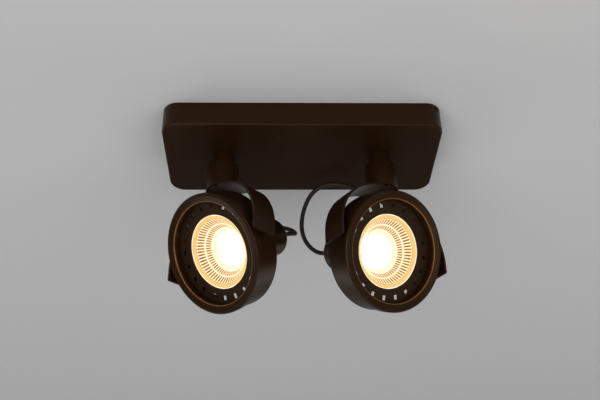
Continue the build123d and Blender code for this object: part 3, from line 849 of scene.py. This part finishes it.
def screw_mesh(sizes, settings):
    """Domed screw about Z, its head's seat at Z = 0, with a six-sided socket and a threaded shank."""
    head, height, shank, length = (sizes[key] for key in ("head", "height", "shank", "length"))
    socket = settings.socket * head
    edge = (1 - settings.dome) * height
    chamfer = SCREW_CHAMFER * height
    pitch = THREAD_PITCH * shank
    root = THREAD_ROOT * shank
    outline = [(THREAD_TIP * shank, -length), (root, -length + THREAD_TIP_LENGTH * shank)]
    for i in range(int((length - THREAD_PLAIN * shank) / pitch)):
        low = -length + THREAD_START * shank + i * pitch
        outline += [(root, low), (shank, low + pitch / 2)]
    outline += [(shank, 0), (head - chamfer, 0), (head, chamfer)]
    for i in range(SCREW_DOME_STEPS + 1):
        turn = i / SCREW_DOME_STEPS * SCREW_DOME_TURN
        share = math.sin(turn) / math.sin(SCREW_DOME_TURN)
        outline.append((head * math.cos(turn), edge + (height - edge) * share))
    rings = [ring_points(radius, level) for radius, level in outline]
    for width, level in SOCKET_RINGS:
        rings.append(ring_points(width * socket, level * height, six_sided=True))
    return mesh_of_rings("screw", rings)


# Dish mesh


def dish_strip(side, place, settings):
    """One sector of a dish, from its neck over its facets, plain band and rim to its outer skin."""
    reach = span_along(f"{side}_reflector", place)
    rim, top, bottom = reach[1].x, reach[1].z, reach[0].z
    aperture = rim - settings.rim
    facets = aperture - settings.band
    facet_top = top - settings.band_depth
    neck = settings.neck
    half = math.pi / settings.sectors

    def height(radius):
        """Height of the dish's curve at a radius."""
        share = (radius ** 2 - neck ** 2) / (facets ** 2 - neck ** 2)
        return bottom + (facet_top - bottom) * share

    rows = [(i / settings.rows) ** DISH_ROW_GROWTH for i in range(settings.rows + 1)]
    edges = [neck + (facets - neck) * row for row in rows]
    wall = settings.wall
    band, fall = DISH_GROOVE * settings.band, DISH_GROOVE * settings.band_depth
    # Third value: the painted glow's share, the rim's painted highlight at 1 and the groove's painted shade at
    # 0
    rest = [
        (facets, facet_top, 0.0),
        (facets + band, facet_top + fall, DISH_BAND_PAINTED_SHINE),
        (aperture - DISH_BAND_END * settings.rim, top, DISH_BAND_PAINTED_SHINE),
        (aperture, top, 1.0),
        (rim, top, 1.0),
        (rim, top - wall, 0.0),
        (aperture, top - wall, 0.0),
        *((radius + wall, height(radius) - wall / 2, 0.0) for radius in reversed(edges[1:])),
        (neck + wall, bottom, 0.0),
        (neck, bottom, 0.0),
    ]
    inwards, forwards = DISH_SWELL
    shape = bmesh.new()
    # Each point's share of the painted glow: 1 for painted highlights, 0 for painted shade
    painted_shine = shape.verts.layers.float.new("painted_shine")
    columns = []
    for k in range(DISH_STEPS + 1):
        side_share = 2 * k / DISH_STEPS - 1
        angle = half * side_share
        outline = []
        for low, high in zip(edges, edges[1:]):
            for j in range(DISH_STEPS + (high == edges[-1])):
                row_share = 2 * j / DISH_STEPS - 1
                radius = low + (high - low) * j / DISH_STEPS
                flat = radius * math.cos(half) / math.cos(angle)
                level = height(low) + (height(high) - height(low)) * j / DISH_STEPS
                swell = settings.bulge * (1 - side_share ** 2) * (1 - row_share ** 2)
                # Painted shade: dark dashes at a facet's sides, standing for dark reflections
                dash = max(0, min(1, (abs(side_share) - DASH_START) * DASH_RISE))
                dash *= 1 - row_share ** DASH_SQUARE
                outline.append((flat - inwards * swell, level + forwards * swell, 1 - dash))
        column = []
        for radius, level, bright in outline + rest:
            vert = shape.verts.new((radius * math.cos(angle), radius * math.sin(angle), level))
            vert[painted_shine] = bright
            column.append(vert)
        columns.append(column)
    for first, second in zip(columns, columns[1:]):
        for i in range(len(first)):
            j = (i + 1) % len(first)
            shape.faces.new((first[i], second[i], second[j], first[j]))
    bmesh.ops.remove_doubles(shape, verts=shape.verts, dist=WELD)
    mesh = bpy.data.meshes.new(f"{side}_dish")
    shape.to_mesh(mesh)
    shape.free()
    return mesh


# Stage


def rectangle(low, high, height):
    """Corners of a level rectangle between two of them, anticlockwise from above."""
    return [(x, y, height) for x, y in ((low.x, low.y), (high.x, low.y), (high.x, high.y), (low.x, high.y))]


def ceiling_mesh():
    """Flat ceiling with an opening behind the canopy, its face downwards."""
    low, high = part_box("canopy_shell")
    level = high.z + CEILING_GAP
    hole = rectangle(low + CEILING_INSET, high - CEILING_INSET, level)
    edge = rectangle(-STAGE_CORNER, STAGE_CORNER, level)
    mesh = bpy.data.meshes.new("ceiling")
    mesh.from_pydata(hole + edge, [], [((i + 1) % 4, 4 + (i + 1) % 4, 4 + i, i) for i in range(4)])
    return mesh


def floor_mesh(height):
    """Flat floor well below the spotlight."""
    mesh = bpy.data.meshes.new("floor")
    mesh.from_pydata(rectangle(-STAGE_CORNER, STAGE_CORNER, height), [], [(0, 1, 2, 3)])
    return mesh


def looking(where, target):
    """Place at a point that looks along -Z at another."""
    turn = (target - where).to_track_quat("-Z", "Y")
    return Matrix.Translation(where) @ turn.to_matrix().to_4x4()


# Geometry Nodes trees


class Tree(Graph):
    """A Geometry Nodes tree under construction, with its named inputs."""

    def __init__(self, name, inputs):
        super().__init__(bpy.data.node_groups.new(name, "GeometryNodeTree"))
        self.tree.is_modifier = True
        face = self.tree.interface
        face.new_socket("Geometry", in_out="INPUT", socket_type="NodeSocketGeometry")
        self.ids = {}
        for label, kind in inputs.items():
            socket = face.new_socket(label, in_out="INPUT", socket_type=f"NodeSocket{kind}")
            self.ids[label] = socket.identifier
        face.new_socket("Geometry", in_out="OUTPUT", socket_type="NodeSocketGeometry")
        self.start = self.add("NodeGroupInput")
        self.end = self.add("NodeGroupOutput")

    def close(self, geometry):
        """Ends the tree with a geometry in the finish that is asked for."""
        coated = self.add("GeometryNodeSetMaterial", Geometry=geometry, Material=self.start.outputs["Finish"])
        self.feed(self.end.inputs["Geometry"], coated.outputs["Geometry"])

    def apply(self, piece, **values):
        """Puts the tree on a piece with its inputs set, and turns the result into a plain mesh."""
        modifier = piece.modifiers.new(self.tree.name, "NODES")
        modifier.node_group = self.tree
        for label, value in values.items():
            modifier[self.ids[label]] = value
        return plain_mesh(piece)


def tree_of_screws():
    """Sets a screw on every point, turned to the point's own aim."""
    tree = Tree("screws_on_points", {"Screw": "Object", "Finish": "Material"})
    given = tree.start.outputs
    screw = tree.add("GeometryNodeObjectInfo", transform_space="ORIGINAL", Object=given["Screw"])
    aim = tree.add("GeometryNodeInputNamedAttribute", data_type="FLOAT_VECTOR", Name="aim")
    turn = tree.add("FunctionNodeAlignRotationToVector", axis="Z", Vector=aim.outputs["Attribute"])
    points = tree.add("GeometryNodeMeshToPoints", Mesh=given["Geometry"])
    copies = tree.add(
        "GeometryNodeInstanceOnPoints", Points=points.outputs["Points"], Instance=screw.outputs["Geometry"],
        Rotation=turn.outputs["Rotation"],
    )
    real = tree.add("GeometryNodeRealizeInstances", Geometry=copies.outputs["Instances"])
    tree.close(real.outputs["Geometry"])
    return tree


def tree_of_turns():
    """Repeats a piece round Z in equal steps, welds the copies and sets them in a frame."""
    tree = Tree(
        "copies_round_axis",
        {"Count": "Int", "Weld": "Float", "Turn": "Rotation", "Place": "Vector", "Finish": "Material"},
    )
    given = tree.start.outputs
    line = tree.add("GeometryNodeMeshLine", Count=given["Count"], Offset=(0, 0, 0))
    step = tree.add("ShaderNodeMath", operation="DIVIDE", Value=2 * math.pi)
    tree.feed(step.inputs[1], given["Count"])
    index = tree.add("GeometryNodeInputIndex")
    angle = tree.add("ShaderNodeMath", operation="MULTIPLY", Value=index.outputs["Index"])
    tree.feed(angle.inputs[1], step.outputs["Value"])
    euler = tree.add("ShaderNodeCombineXYZ", Z=angle.outputs["Value"])
    copies = tree.add(
        "GeometryNodeInstanceOnPoints", Points=line.outputs["Mesh"], Instance=given["Geometry"],
        Rotation=euler.outputs["Vector"],
    )
    real = tree.add("GeometryNodeRealizeInstances", Geometry=copies.outputs["Instances"])
    weld = tree.add("GeometryNodeMergeByDistance", Geometry=real.outputs["Geometry"], Distance=given["Weld"])
    placed = tree.add(
        "GeometryNodeTransform", Geometry=weld.outputs["Geometry"], Translation=given["Place"],
        Rotation=given["Turn"],
    )
    tree.close(placed.outputs["Geometry"])
    return tree


# Operators


class SPOTLIGHT_OT_coat_metalwork(Operator):
    """Gives the painted, plated and moulded pieces of the model their finishes"""

    bl_idname = "spotlight.coat_metalwork"
    bl_label = "Coat the metalwork"

    def execute(self, context):
        settings = context.scene.spotlight.paint
        paint = black_paint(settings)
        steel = plated_steel()
        brass = plain_brass()
        white = moulded_plastic("white_plastic", (0.72, 0.70, 0.64), (0.62, 0.60, 0.54), 0.48)
        nylon = moulded_plastic("dark_nylon", (0.030, 0.029, 0.028), (0.016, 0.015, 0.015), 0.55)
        rubber = moulded_plastic("black_rubber", (0.014, 0.013, 0.012), (0.022, 0.020, 0.019), 0.68)
        ceramic = moulded_plastic("holder_ceramic", (0.74, 0.71, 0.65), (0.66, 0.63, 0.57), 0.7)
        coats = {
            paint: (
                "swivel_neck", "swivel_collar", "yoke", "drum", "lamp_seat", "lampholder_cap", "pivot_bushes",
            ),
            steel: ("stem_nut", "swivel_tube", "retaining_nut", "collar_plug"),
            nylon: ("friction_washer",),
            rubber: ("cable_grommet", "cap_grommet"),
            white: ("lamp_base",),
            ceramic: ("lampholder",),
            brass: ("lamp_pins",),
        }
        for finish, names in coats.items():
            for name in names:
                for side in SIDES:
                    coat_node(f"{side}_{name}", finish)
        for side in SIDES:
            place = head_place(side)
            points = local_points(f"{side}_front_ring", place)
            reach = np.linalg.norm(points[:, :2], axis=1)
            on_lip = reach < reach.min() + LIP_FIND
            lip_edge = (reach.min(), points[on_lip, 2].max())
            # Each front ring's finish paints the lamp's light along its lip
            coat_node(f"{side}_front_ring", lamp_lit_ring(f"{side}_worn_ring", place, lip_edge, settings))
        for name, finish in (
            ("canopy_shell", paint), ("ceiling_plate", steel), ("terminal_block", white),
            ("terminal_screws", brass), ("earth_terminal", brass),
        ):
            coat_node(name, finish)
        return {"FINISHED"}


class SPOTLIGHT_OT_lay_cables(Operator):
    """Lays a round cable from each collar to its lampholder"""

    bl_idname = "spotlight.lay_cables"
    bl_label = "Lay the cables"

    def execute(self, context):
        settings = context.scene.spotlight.cable
        sheath = cable_sheath(settings)
        for side in SIDES:
            path = smooth_path(cable_route(side))
            mesh = cable_mesh(f"{side}_flex", path, settings.diameter)
            cable = add_piece(f"{side}_flex", mesh, sheath)
            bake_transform(cable)
            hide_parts(f"{side}_cable")
        return {"FINISHED"}


class SPOTLIGHT_OT_set_screws(Operator):
    """Sets the domed screws of the canopy's corners, the yokes and the pivots"""

    bl_idname = "spotlight.set_screws"
    bl_label = "Set the screws"

    def execute(self, context):
        settings = context.scene.spotlight.screw
        paint = bpy.data.materials["satin_black_paint"]
        tree = tree_of_screws()
        corner = Vector((1, -1, 0)).normalized()
        down = Vector((0, 0, -1))
        # Each group's name, the node that it stands for, its body, and each screw's side and head's direction
        groups = [("corner_screws", "canopy_screws", "base", ((corner, corner), (-corner, -corner)))]
        for side in SIDES:
            across = Vector(JOINTS[f"{side}_tilt"]["axis"])
            inwards = ((across, -across), (-across, across))
            groups.append((f"{side}_arm_screws", f"{side}_pivot_screws", f"{side}_head", inwards))
            groups.append((f"{side}_band_screw", f"{side}_yoke_screw", f"{side}_yoke", ((None, down),)))
        for name, node, body, aims in groups:
            lines = [screw_line(node, side, direction) for side, direction in aims]
            template = add_piece("screw_template", screw_mesh(lines[0]["sizes"], settings))
            points = bpy.data.meshes.new(name)
            points.from_pydata([line["seat"] for line in lines], [], [])
            aim = points.attributes.new("aim", "FLOAT_VECTOR", "POINT")
            aim.data.foreach_set("vector", [value for line in lines for value in line["direction"]])
            screws = tree.apply(add_piece(name, points), Screw=template, Finish=paint)
            shade(screws.data, SCREW_CREASE)
            drop(template)
            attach(screws, body)
            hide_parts(node)
        return {"FINISHED"}


class SPOTLIGHT_OT_form_dishes(Operator):
    """Forms the faceted dishes and gives the lamps' other pieces their finishes"""

    bl_idname = "spotlight.form_dishes"
    bl_label = "Form the dishes"

    def execute(self, context):
        settings = context.scene.spotlight.lamp
        tree = tree_of_turns()
        glass = clear_glass()
        board = moulded_plastic("white_board", (0.80, 0.79, 0.74), (0.72, 0.70, 0.64), 0.45)
        for side in SIDES:
            place = head_place(side)
            metal = dark_lamp_metal(f"{side}_lamp_metal", place)
            for name, finish in (
                ("lamp_face", metal), ("heat_sink", metal), ("lamp_glass", glass), ("led_board", board),
                ("led_emitter", lit_pad(f"{side}_lit_pad", place, settings)),
            ):
                coat_node(f"{side}_{name}", finish)
            # The dish's finish paints the lamp's reflected light on it as glow, with painted highlights and
            # shade
            strip = add_piece(f"{side}_dish", dish_strip(side, place, settings))
            dish = tree.apply(
                strip, Count=settings.sectors, Weld=WELD, Turn=place.to_euler(), Place=place.translation,
                Finish=painted_glow_dish(f"{side}_faceted_dish", place, settings),
            )
            close_shell(dish.data, DISH_CREASE)
            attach(dish, f"{side}_head")
            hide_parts(f"{side}_reflector")
        return {"FINISHED"}


class SPOTLIGHT_OT_set_stage(Operator):
    """Sets the ceiling, the floor, the lights and the camera"""

    bl_idname = "spotlight.set_stage"
    bl_label = "Set the stage"

    def execute(self, context):
        scene = context.scene
        settings = scene.spotlight.stage
        scene.view_settings.view_transform = "Standard"
        ceiling = add_piece("ceiling", ceiling_mesh(), ceiling_paint(settings.ceiling))
        floor = add_piece("floor", floor_mesh(settings.floor_height), matt_floor(settings.floor))
        for name, energy, size, where, target in STAGE_LIGHTS:
            light = bpy.data.lights.new(name, "AREA")
            light.energy = energy
            light.size = size
            lamp = bpy.data.objects.new(name, light)
            lamp.matrix_world = looking(Vector(where), Vector(target))
            scene.collection.objects.link(lamp)
        world = bpy.data.worlds.new("room")
        world.use_nodes = True
        background = world.node_tree.nodes["Background"]
        background.inputs["Color"].default_value = (*settings.room, 1)
        background.inputs["Strength"].default_value = settings.room_strength
        scene.world = world
        camera = bpy.data.cameras.new("camera")
        camera.lens = settings.lens
        viewer = bpy.data.objects.new("camera", camera)
        viewer.matrix_world = (
            Matrix.Translation(settings.camera_place)
            @ Matrix.Rotation(-settings.camera_yaw, 4, "Z")
            @ Matrix.Rotation(math.pi / 2 + settings.camera_pitch, 4, "X")
            @ Matrix.Rotation(settings.camera_roll, 4, "Z")
        )
        scene.collection.objects.link(viewer)
        scene.camera = viewer
        return {"FINISHED"}


OPERATORS = (
    SPOTLIGHT_OT_set_stage,
    SPOTLIGHT_OT_coat_metalwork,
    SPOTLIGHT_OT_lay_cables,
    SPOTLIGHT_OT_set_screws,
    SPOTLIGHT_OT_form_dishes,
)


class SPOTLIGHT_PT_pieces(Panel):
    """Settings and makers of the spotlight's pieces"""

    bl_idname = "SPOTLIGHT_PT_pieces"
    bl_label = "Spotlight"
    bl_space_type = "VIEW_3D"
    bl_region_type = "UI"
    bl_category = "Spotlight"

    def draw(self, context):
        """Shows every setting, and a button for each operator."""
        settings = context.scene.spotlight
        for group in (settings.paint, settings.cable, settings.lamp, settings.screw, settings.stage):
            box = self.layout.box()
            for name in group.__annotations__:
                box.prop(group, name)
        for operator in OPERATORS:
            self.layout.operator(operator.bl_idname)


CLASSES = (
    PaintSettings, CableSettings, LampSettings, ScrewSettings, StageSettings, SpotlightSettings,
    *OPERATORS, SPOTLIGHT_PT_pieces,
)


def register():
    """Makes the classes and the settings known to Blender."""
    for cls in CLASSES:
        bpy.utils.register_class(cls)
    bpy.types.Scene.spotlight = PointerProperty(type=SpotlightSettings)


def unregister():
    """Takes the settings and the classes out again."""
    del bpy.types.Scene.spotlight
    for cls in reversed(CLASSES):
        bpy.utils.unregister_class(cls)


def main():
    """Registers the add-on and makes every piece."""
    register()
    bpy.ops.spotlight.set_stage()
    bpy.ops.spotlight.lay_cables()
    bpy.ops.spotlight.coat_metalwork()
    bpy.ops.spotlight.set_screws()
    bpy.ops.spotlight.form_dishes()


if __name__ == "__main__":
    main()
